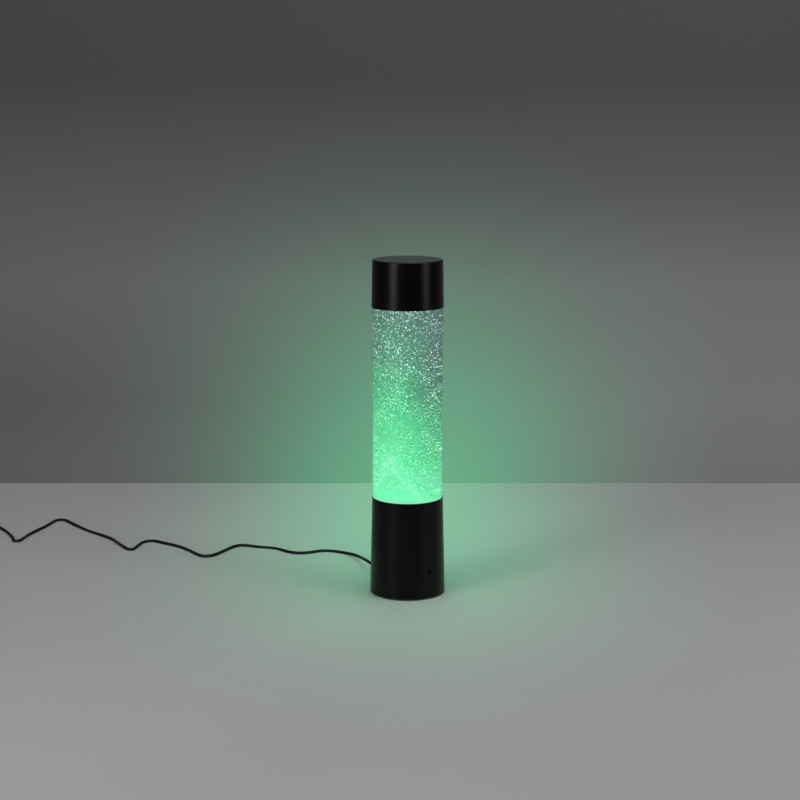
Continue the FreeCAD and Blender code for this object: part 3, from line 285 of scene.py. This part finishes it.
def mix_colours(tree, share, first, second):
    """The first colour turning into the second as the share goes from 0 to 1."""
    node = tree.nodes.new("ShaderNodeMix")
    node.data_type = "RGBA"
    feed(tree, node.inputs["Factor"], share)
    colour_inputs = [socket for socket in node.inputs if socket.type == "RGBA"]
    for socket, colour in zip(colour_inputs, (first, second)):
        feed(tree, socket, colour)
    return next(socket for socket in node.outputs if socket.type == "RGBA")


def mix_shaders(tree, share, first, second):
    """The first shader giving way to the second as the share goes from 0 to 1."""
    node = tree.nodes.new("ShaderNodeMixShader")
    for socket, value in zip(node.inputs, (share, first, second)):
        feed(tree, socket, value)
    return node.outputs["Shader"]


def show(tree, surface):
    """Make a shader the material's surface."""
    feed(tree, tree.nodes["Material Output"].inputs["Surface"], surface)


def bump_of(tree, height, distance, strength=1.0):
    """A normal with fine relief."""
    node = add_node(tree, "ShaderNodeBump",
                    {"Height": height, "Distance": distance, "Strength": strength})
    return node.outputs["Normal"]


def solid_material(name, dark, light, roughness, grain, relief, metallic, specular):
    """An opaque material: two close colours in soft patches, uneven gloss and a fine grain."""
    material, tree, shader = new_material(name)
    patch = noise_of(tree, scale=60, detail=4)
    feed_all(tree, shader, {
        "Base Color": colours_of(tree, patch, [(0.35, dark), (0.65, light)]),
        "Roughness": spread_of(tree, patch, *roughness),
        "Metallic": metallic,
        "Specular IOR Level": specular,
        "Normal": bump_of(tree, noise_of(tree, grain, detail=3), relief * MM)})
    return material


# ---- materials of the casing, the mechanism and the lead ----
def black_paint():
    """Satin powder coat: a faint orange peel, soft wipe marks in the gloss, a smoother top lightened as a
    painted sheen.
    """
    material, tree, shader = new_material("black_paint")
    wipes = noise_of(tree, scale=22, detail=5, stretch=(1.0, 1.0, 0.25))
    peel = noise_of(tree, scale=900, detail=2)
    specks = noise_of(tree, scale=2600, detail=1)
    normal = split(tree, tree.nodes.new("ShaderNodeTexCoord").outputs["Normal"])
    upward = spread_of(tree, normal["Z"], 0.0, 1.0, 0.6, 1.0)
    paint = colours_of(tree, wipes, [(0.35, (0.0006, 0.0006, 0.0007)), (0.7, (0.0010, 0.0010, 0.0011))])
    gloss = calc(tree, "ADD", spread_of(tree, wipes, 0.24, 0.29), spread_of(tree, specks, 0.0, 0.03))
    feed_all(tree, shader, {
        # Faces that point up get a lighter grey colour, a painted sheen on the top, besides their smoother
        # gloss.
        "Base Color": mix_colours(tree, upward, paint, (0.035, 0.035, 0.036)),
        "Roughness": calc(tree, "MULTIPLY", gloss, spread_of(tree, upward, 1.0, 0.3, 0.0, 1.0)),
        "Specular IOR Level": 0.17,
        "Normal": bump_of(tree, peel, 0.02 * MM, 0.6)})
    return material


def plain_materials():
    """The materials that differ only in their numbers, by the record's slot name."""
    return {slot: solid_material(slot, *numbers) for slot, numbers in PLAIN_MATERIALS.items()}


def led_light():
    """A white LED package that glows green."""
    material, tree, shader = new_material("led_light")
    colour = colours_of(tree, noise_of(tree, scale=500), [(0.3, (0.3, 1.0, 0.5)), (0.7, (0.5, 1.0, 0.65))])
    feed_all(tree, shader, {"Base Color": colour, "Emission Color": colour, "Emission Strength": 6.0})
    return material


# ---- materials of the bottle ----
def outer_skin(tree):
    """1 on the outer surface of the bottle's wall, 0 on its inner one and for rays toward a light."""
    place = split(tree, object_place(tree))
    squares = [calc(tree, "MULTIPLY", place[axis], place[axis]) for axis in "XY"]
    distance = calc(tree, "SQRT", calc(tree, "ADD", *squares))
    outside = calc(tree, "GREATER_THAN", distance, WALL_MIDDLE_RADIUS)
    light_ray = tree.nodes.new("ShaderNodeLightPath").outputs["Is Shadow Ray"]
    return calc(tree, "MULTIPLY", outside, calc(tree, "SUBTRACT", 1.0, light_ray))


def clear_acrylic():
    """Polished clear wall: it bends the view as a full bottle does, is darkened toward its silhouette as
    painted shade, and glows green at its foot as painted light.
    """
    material, tree, shader = new_material("clear_acrylic")
    tree.nodes.remove(shader)
    facing = add_node(tree, "ShaderNodeLayerWeight", {"Blend": 0.5}).outputs["Facing"]
    # Toward the silhouette the see-through colour turns darker and greener: painted shade at the wall's
    # grazing edge.
    edge = calc(tree, "POWER", facing, 8.0)
    edge_shaded_tint = colours_of(tree, edge, [(0.0, (0.97, 0.985, 0.98)), (1.0, (0.40, 0.50, 0.44))])
    straight = add_node(tree, "ShaderNodeBsdfTransparent", {"Color": edge_shaded_tint})
    bent = add_node(tree, "ShaderNodeBsdfRefraction",
                    {"Color": edge_shaded_tint, "IOR": FLUID_INDEX, "Roughness": 0.0})
    see_through = mix_shaders(tree, outer_skin(tree), straight.outputs["BSDF"], bent.outputs["BSDF"])

    waves = noise_of(tree, scale=30, detail=1, stretch=(1.0, 1.0, 0.1))
    shine = add_node(tree, "ShaderNodeBsdfGlossy",
                     {"Normal": bump_of(tree, waves, 0.04 * MM),
                      "Roughness": spread_of(tree, waves, 0.05, 0.12)})
    share = calc(tree, "ADD", calc(tree, "MULTIPLY", edge, 0.25), 0.02)
    inside = tree.nodes.new("ShaderNodeNewGeometry").outputs["Backfacing"]
    share = calc(tree, "MULTIPLY", share, calc(tree, "SUBTRACT", 1.0, inside))
    glazed = mix_shaders(tree, share, see_through, shine.outputs["BSDF"])

    # A thin band at the wall's foot glows green: painted light from the LEDs below, not a lamp.
    glow = add_node(tree, "ShaderNodeEmission", {"Color": (0.26, 0.86, 0.50)})
    height = split(tree, object_place(tree))["Z"]
    foot = spread_of(tree, height, 0.6, 0.0, RIM_GLOW_LOW, RIM_GLOW_HIGH)
    show(tree, mix_shaders(tree, foot, glazed, glow.outputs["Emission"]))
    return material


def glow_height(tree):
    """How far up the bottle a point lies, from 0 to 1, with the painted glow drawn up left of the middle."""
    place = split(tree, object_place(tree))
    height = spread_of(tree, place["Z"], 0.0, 1.0, FLUID_LOW, FLUID_HIGH)
    aside = calc(tree, "ABSOLUTE", calc(tree, "ADD", place["X"], PLUME_ASIDE))
    side = spread_of(tree, aside, -0.22, 0.17, 0.0, PLUME_ASIDE + FLUID_RADIUS)
    swirls = noise_of(tree, scale=26, detail=3, stretch=(1.0, 1.0, 0.8))
    swirl = spread_of(tree, swirls, -0.10, 0.10)
    return calc(tree, "ADD", calc(tree, "ADD", height, side), swirl)


def glitter_fluid():
    """Fluid thick with glitter: a painted green glow that is dense at the foot and thins upward."""
    material, tree, shader = new_material("glitter_fluid")
    tree.nodes.remove(shader)
    place = glow_height(tree)
    colour = colours_of(tree, place, [(0.0, (0.18, 0.96, 0.46)), (0.05, (0.31, 0.97, 0.60)),
                                      (0.11, (0.13, 0.93, 0.41)), (0.17, (0.17, 0.90, 0.43)),
                                      (0.24, (0.12, 0.87, 0.37)), (0.38, (0.11, 0.81, 0.34)),
                                      (0.53, (0.09, 0.60, 0.27)), (0.68, (0.08, 0.42, 0.24)),
                                      (0.84, (0.10, 0.31, 0.22)), (1.0, (0.13, 0.24, 0.21))])
    # The fluid's emission is painted light: the LEDs' green glow, strongest at the foot and fading upward.
    glow = add_node(tree, "ShaderNodeEmission", {"Color": colour, "Strength": 1.12})
    clear = add_node(tree, "ShaderNodeBsdfTransparent", {"Color": (0.93, 0.97, 0.98)})
    painted_glow_share = spread_of(tree, place, 0.52, 0.20, 0.05, 0.62)
    show(tree, mix_shaders(tree, painted_glow_share, clear.outputs["BSDF"], glow.outputs["Emission"]))
    return material


def flake_material(name, stops, strength):
    """Metallised flake: mirror-like, with the lamp's light painted on as a glow whose colour its place in
    the bottle sets.
    """
    material, tree, shader = new_material(name)
    colour = colours_of(tree, glow_height(tree), stops)
    feed_all(tree, shader, {
        "Base Color": colour,
        "Emission Color": colour,
        "Emission Strength": strength,
        "Metallic": 0.85,
        "Roughness": spread_of(tree, noise_of(tree, scale=700), 0.18, 0.4)})
    return material


def flash_flake():
    """A flake with a painted glint: it glows brightly as if it caught the light."""
    return flake_material("flake_flash", [(0.0, (0.50, 1.0, 0.74)), (0.25, (0.60, 1.0, 0.76)),
                                          (0.45, (0.74, 1.0, 0.86)), (0.65, (0.84, 0.96, 0.92)),
                                          (1.0, (0.92, 0.96, 0.97))], 1.8)


def soft_flake():
    """A flake with a soft painted glow."""
    return flake_material("flake_soft", [(0.0, (0.24, 0.95, 0.50)), (0.3, (0.17, 0.80, 0.38)),
                                         (0.5, (0.18, 0.56, 0.35)), (0.75, (0.20, 0.40, 0.32)),
                                         (1.0, (0.22, 0.34, 0.31))], 0.9)


def dim_flake():
    """A flake with painted shade: a dim glow for a flake turned away from the light."""
    return flake_material("flake_dim", [(0.0, (0.04, 0.42, 0.17)), (0.2, (0.02, 0.20, 0.09)),
                                        (0.4, (0.015, 0.13, 0.06)), (0.6, (0.015, 0.09, 0.05)),
                                        (1.0, (0.02, 0.06, 0.045))], 0.7)


def dress_cad_nodes():
    """Give every CAD node the material of its slot."""
    by_slot = plain_materials()
    by_slot["black_paint"] = black_paint()
    by_slot["clear_acrylic"] = clear_acrylic()
    by_slot["glitter_fluid"] = glitter_fluid()
    by_slot["led_light"] = led_light()
    for part in frame["record"]["subparts"]:
        mesh = nodes[part["node"]].data
        mesh.materials.clear()
        mesh.materials.append(by_slot[part["material_slot"]])
    return by_slot


# ---- glitter ----
def flake_corners(centre, size, turn):
    """The corners of one hexagonal flake."""
    corners = []
    for step in range(FLAKE_CORNERS):
        angle = math.tau * step / FLAKE_CORNERS
        corners.append(centre + turn @ Vector((size * math.cos(angle), size * math.sin(angle), 0)))
    return corners


def drifting(place):
    """Whether the fluid's swirl carries a flake here: it gathers glitter in drawn-out wisps."""
    wisp = noise.noise(Vector((place.x * WISPS_ACROSS, place.y * WISPS_ACROSS,
                               place.z * WISPS_UP + place.x * WISPS_LEAN)))
    return wisp > WISPS_LEAST


def in_fluid(radius, level, size):
    """Whether a flake here is clear of the stirrer's room and of the narrow spigot's wall."""
    in_stirrer_room = level < STIRRER_REACH_TOP and radius < STIRRER_REACH + size
    in_spigot_wall = level < SPIGOT_TOP and radius > SPIGOT_REACH
    return not in_stirrer_room and not in_spigot_wall


def glitter(name, count, size_low, size_high, seed, material):
    """A cloud of tiny hexagonal flakes that hangs in the fluid."""
    draw = random.Random(seed)
    vertices = []
    faces = []
    while len(faces) < count:
        radius = (FLUID_RADIUS - FLAKE_GAP_ASIDE) * draw.random() ** FLAKE_CROWDING
        angle = draw.uniform(0, math.tau)
        level = draw.uniform(FLUID_LOW + FLAKE_GAP_BELOW, FLUID_HIGH - FLAKE_GAP_ABOVE)
        size = draw.uniform(size_low, size_high)
        place = Vector((radius * math.cos(angle), radius * math.sin(angle), level))
        turn = Matrix.Rotation(draw.uniform(0, math.tau), 3, "Z")
        turn = turn @ Matrix.Rotation(draw.uniform(0, math.tau), 3, "X")
        if in_fluid(radius, level, size) and drifting(place):
            first = len(vertices)
            vertices.extend(flake_corners(place, size, turn))
            faces.append(tuple(range(first, first + FLAKE_CORNERS)))
    cloud = mesh_object(name, vertices, faces)
    cloud.data.materials.append(material)
    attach(cloud, "bottle")


def fill_bottle():
    """Three clouds of flakes, each with its own count, sizes and seed."""
    # The same flake in three painted copies: glinting, softly lit and shaded.
    glitter("glitter_flash", 6000, 0.22 * MM, 0.5 * MM, 11, flash_flake())
    glitter("glitter_soft", 9000, 0.25 * MM, 0.5 * MM, 12, soft_flake())
    glitter("glitter_dim", 10000, 0.3 * MM, 0.7 * MM, 13, dim_flake())


# ---- the lead ----
def coil_points():
    """The wound-up part of the lead, each turn one place further round the bundle."""
    points = []
    for step in range(int(COIL_TURNS * POINTS_PER_TURN) + 1):
        turns = step / POINTS_PER_TURN
        angle = math.radians(COIL_START + 360 * turns)
        phase = math.radians(COIL_PHASE_START - COIL_PHASE_STEP * turns)
        radius = COIL_RADIUS + COIL_SPREAD * math.cos(phase)
        points.append((COIL_CENTRE[0] + radius * math.cos(angle),
                       COIL_CENTRE[1] + radius * math.sin(angle),
                       COIL_LEVEL + COIL_LIFT * math.sin(phase)))
    return points


def spline_points(control):
    """Points along the smooth NURBS line that the control points make."""
    curve = bpy.data.curves.new("route", "CURVE")
    curve.dimensions = "3D"
    curve.resolution_u = POINTS_PER_CONTROL
    spline = curve.splines.new("NURBS")
    spline.points.add(len(control) - 1)
    for point, place in zip(spline.points, control):
        point.co = (place[0] * MM, place[1] * MM, place[2] * MM, 1.0)
    spline.order_u = 3
    spline.use_endpoint_u = True
    holder = link(bpy.data.objects.new("route", curve))
    bpy.context.view_layer.update()
    line = bpy.data.meshes.new_from_object(holder)
    points = [vertex.co.copy() for vertex in line.vertices]
    bpy.data.objects.remove(holder)
    bpy.data.curves.remove(curve)
    bpy.data.meshes.remove(line)
    return points


def twin_core_outline():
    """The cord's section: two round cores side by side with a shallow groove between them."""
    half_width = CORD_WIDTH / 2
    core = CORD_HEIGHT / 2
    outline = []
    for step in range(CORD_SIDES):
        angle = math.tau * (step + 0.5) / CORD_SIDES
        across = half_width * math.cos(angle)
        beyond = abs(across) - (half_width - core)
        rise = math.sqrt(max(core ** 2 - beyond ** 2, 0.0))
        if beyond < 0:
            rise = max(rise, CORD_WEB * core)
        outline.append((across, math.copysign(rise, math.sin(angle))))
    return outline


def roll_at(distance, lying_length):
    """How far the flat cord is rolled on its side at a distance along the free stretch."""
    to_end = max(lying_length - distance, 0.0)
    fade = min(distance / ROLL_FADE_IN, to_end / ROLL_FADE_OUT, 1.0)
    wave = math.sin(math.tau * distance / ROLL_LENGTH + ROLL_PHASE)
    slow_wave = math.sin(math.tau * distance / SLOW_ROLL_LENGTH + SLOW_ROLL_PHASE)
    return fade * math.radians(ROLL_MEAN + ROLL_SWING * wave * slow_wave)


def cord_rings(line):
    """The places round the cord at each point of its line, and the middle of each ring."""
    steps = [(b - a).length for a, b in zip(line, line[1:])]
    coil_x = (COIL_CENTRE[0] + COIL_RADIUS) * MM
    lying_length = sum(step for step, place in zip(steps, line) if place.x > coil_x)
    outline = twin_core_outline()
    centres = []
    vertices = []
    distance = 0.0
    for number, place in enumerate(line):
        ahead = line[min(number + 1, len(line) - 1)]
        behind = line[max(number - 1, 0)]
        along = (ahead - behind).normalized()
        flat = along.cross(Vector((0, 0, 1))).normalized()
        above = flat.cross(along).normalized()
        roll = roll_at(distance, lying_length)
        lift = (CORD_WIDTH - CORD_HEIGHT) / 2 * abs(math.sin(roll))
        centre = place + Vector((0, 0, lift))
        wide = flat * math.cos(roll) + above * math.sin(roll)
        thin = above * math.cos(roll) - flat * math.sin(roll)
        centres.append(centre)
        vertices.extend(centre + wide * across + thin * rise for across, rise in outline)
        if number < len(steps):
            distance += steps[number]
    return vertices, centres


def tube_faces(rings, sides):
    """The faces of a closed tube whose rings have the same number of sides."""
    faces = [(ring * sides + side, ring * sides + (side + 1) % sides,
              (ring + 1) * sides + (side + 1) % sides, (ring + 1) * sides + side)
             for ring in range(rings - 1) for side in range(sides)]
    faces.append(tuple(reversed(range(sides))))
    faces.append(tuple(range((rings - 1) * sides, rings * sides)))
    return faces


def make_lead(material):
    """The whole free lead as one flat twin-core cord, from the strain relief to the plug."""
    vertices, centres = cord_rings(spline_points(CORD_ROUTE + coil_points() + TAIL_ROUTE))
    lead = mesh_object("flat_cord", vertices, tube_faces(len(centres), CORD_SIDES), smooth=True)
    lead.data.materials.append(material)
    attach(lead, "base")
    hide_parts("cord", "cord_coil", "cord_tail")


# ---- camera, room and light ----
def make_camera():
    """The view from the front, a little above the lamp, with the lead's bends on the left."""
    camera = link(bpy.data.objects.new("camera", bpy.data.cameras.new("camera")))
    camera.data.lens = CAMERA_LENS
    camera.data.sensor_width = SENSOR_WIDTH
    camera.location = CAMERA_PLACE
    camera.rotation_euler = (math.pi / 2 - CAMERA_PITCH, 0, 0)
    bpy.context.scene.camera = camera


def make_floor():
    """A plain pale table top."""
    reach = ROOM_REACH
    floor = mesh_object("floor", [(-reach, -reach, 0), (reach, -reach, 0), (reach, reach, 0),
                                  (-reach, reach, 0)], [(0, 1, 2, 3)])
    material, tree, shader = new_material("floor_paint")
    patches = noise_of(tree, scale=3, detail=4)
    colour = colours_of(tree, patches, [(0.3, (0.42, 0.42, 0.425)), (0.7, (0.44, 0.44, 0.445))])
    feed_all(tree, shader, {"Base Color": colour, "Roughness": 0.55, "Specular IOR Level": 0.25})
    floor.data.materials.append(material)
    return floor


def grey_stops(greys):
    """Ramp stops of grey painted shade with a touch of blue."""
    return [(position, (grey, grey, blue)) for position, grey, blue in greys]


def make_wall():
    """A backdrop with painted shade, darker toward its top and left, that shows only its front, so the lamp
    can be seen from behind as well.
    """
    reach = ROOM_REACH
    wall = mesh_object("wall", [(-reach, WALL_Y, 0), (reach, WALL_Y, 0), (reach, WALL_Y, WALL_HEIGHT),
                                (-reach, WALL_Y, WALL_HEIGHT)], [(0, 1, 2, 3)])
    material, tree, shader = new_material("wall_painted_shade")
    place = split(tree, object_place(tree))
    level = spread_of(tree, place["Z"], 0.0, 1.0, 0.0, WALL_SHADED_TO)
    # The grey ramps up and across the backdrop are painted shade, not a change in its paint.
    left = colours_of(tree, level, grey_stops(WALL_LEFT_GREYS))
    right = colours_of(tree, level, grey_stops(WALL_RIGHT_GREYS))
    across = spread_of(tree, place["X"], 0.0, 1.0, WALL_LEFT_X, WALL_RIGHT_X)
    feed_all(tree, shader, {"Base Color": mix_colours(tree, across, left, right), "Roughness": 0.9})
    clear = tree.nodes.new("ShaderNodeBsdfTransparent").outputs["BSDF"]
    back = tree.nodes.new("ShaderNodeNewGeometry").outputs["Backfacing"]
    show(tree, mix_shaders(tree, back, shader.outputs["BSDF"], clear))
    wall.data.materials.append(material)
    return wall


def area_light(name, place, aim, width, height, power):
    """A soft box that points at a spot."""
    data = bpy.data.lights.new(name, "AREA")
    data.shape = "RECTANGLE"
    data.size = width
    data.size_y = height
    data.energy = power
    lamp = link(bpy.data.objects.new(name, data))
    lamp.location = place
    lamp.rotation_euler = (Vector(aim) - Vector(place)).to_track_quat("-Z", "Y").to_euler()
    lamp.visible_camera = False
    return lamp


def glow_on(surface, name, place, aim, width, height, power):
    """A patch of the lamp's green glow on one piece of the room, and on nothing else."""
    lamp = area_light(name, place, aim, width, height, power)
    lamp.data.color = GLOW_COLOUR
    lamp.data.spread = GLOW_SPREAD
    lit = bpy.data.collections.new(name)
    lit.objects.link(surface)
    lamp.light_linking.receiver_collection = lit
    lamp.light_linking.blocker_collection = lit


def make_room():
    """The table top and the backdrop, with the lamp's green glow on both."""
    glow_on(make_floor(), "floor_glow", (0, FLOOR_GLOW_Y, FLOOR_GLOW_ABOVE), (0, FLOOR_GLOW_Y, 0),
            *FLOOR_GLOW_SIZE, FLOOR_GLOW_WATTS)
    glow_on(make_wall(), "wall_glow", (0, WALL_Y - WALL_GLOW_AWAY, WALL_GLOW_Z), (0, WALL_Y, WALL_GLOW_Z),
            *WALL_GLOW_SIZE, WALL_GLOW_WATTS)


def make_light():
    """Two upright soft boxes that streak the black paint, a broad one overhead and a dim sky."""
    for soft_box in SOFT_BOXES:
        area_light(*soft_box)
    world = bpy.data.worlds.new("world")
    world.use_nodes = True
    feed_all(world.node_tree, world.node_tree.nodes["Background"],
             {"Color": SKY_COLOUR, "Strength": SKY_STRENGTH})
    bpy.context.scene.world = world


make_camera()
materials = dress_cad_nodes()
make_lead(materials["black_cord"])
fill_bottle()
make_room()
make_light()
bpy.context.scene.view_settings.view_transform = "Standard"
